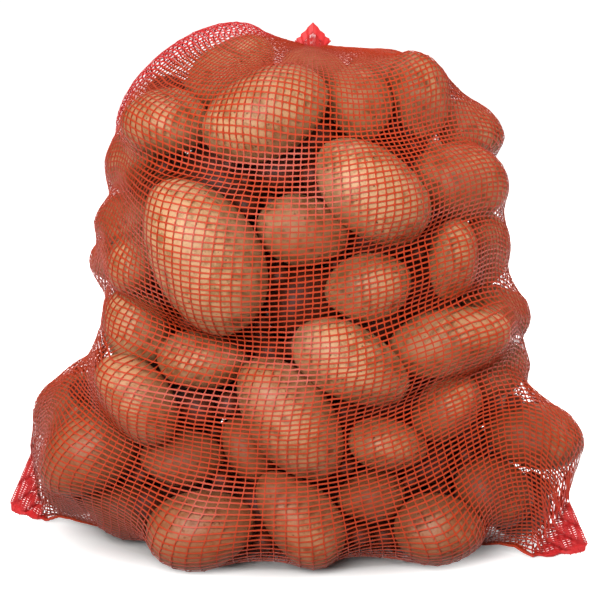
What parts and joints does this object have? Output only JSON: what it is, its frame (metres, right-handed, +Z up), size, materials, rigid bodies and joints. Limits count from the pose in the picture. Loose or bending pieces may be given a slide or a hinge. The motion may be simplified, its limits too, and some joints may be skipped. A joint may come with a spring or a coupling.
{
  "type": "net sack of potatoes",
  "caption": "Upright red leno-net sack filled with loose potatoes, bulging over them, its mouth gathered on top and flat corner ears at the ends of its sewn bottom.",
  "frame": {"origin": "on the ground under the middle of the sack, on the flat of its bottom", "axes": "+X across the front to the right, +Y from the front to the back, +Z up"},
  "size_m": [0.3716, 0.2463, 0.3285],
  "materials": {
    "netting": "satin",
    "potato_skin": "satin"
  },
  "bodies": {
    "root": {"net_sack": "netting", "potato_01": "potato_skin", "potato_02": "potato_skin", "potato_03": "potato_skin", "potato_04": "potato_skin", "potato_05": "potato_skin", "potato_06": "potato_skin", "potato_07": "potato_skin", "potato_08": "potato_skin", "potato_09": "potato_skin", "potato_10": "potato_skin", "potato_11": "potato_skin", "potato_12": "potato_skin", "potato_13": "potato_skin", "potato_14": "potato_skin", "potato_15": "potato_skin", "potato_16": "potato_skin", "potato_17": "potato_skin", "potato_18": "potato_skin", "potato_19": "potato_skin", "potato_20": "potato_skin", "potato_21": "potato_skin", "potato_22": "potato_skin", "potato_23": "potato_skin", "potato_24": "potato_skin", "potato_25": "potato_skin", "potato_26": "potato_skin", "potato_27": "potato_skin", "potato_28": "potato_skin", "potato_29": "potato_skin", "potato_30": "potato_skin", "potato_31": "potato_skin", "potato_32": "potato_skin", "potato_33": "potato_skin", "potato_34": "potato_skin", "potato_35": "potato_skin", "potato_36": "potato_skin", "potato_37": "potato_skin", "potato_38": "potato_skin", "potato_39": "potato_skin", "potato_40": "potato_skin", "potato_41": "potato_skin", "potato_42": "potato_skin", "potato_43": "potato_skin", "potato_44": "potato_skin", "potato_45": "potato_skin", "potato_46": "potato_skin", "potato_47": "potato_skin", "potato_48": "potato_skin", "potato_49": "potato_skin", "potato_50": "potato_skin", "potato_51": "potato_skin", "potato_52": "potato_skin", "potato_53": "potato_skin", "potato_54": "potato_skin", "potato_55": "potato_skin", "potato_56": "potato_skin", "potato_57": "potato_skin", "potato_58": "potato_skin"}
  },
  "joints": []
}
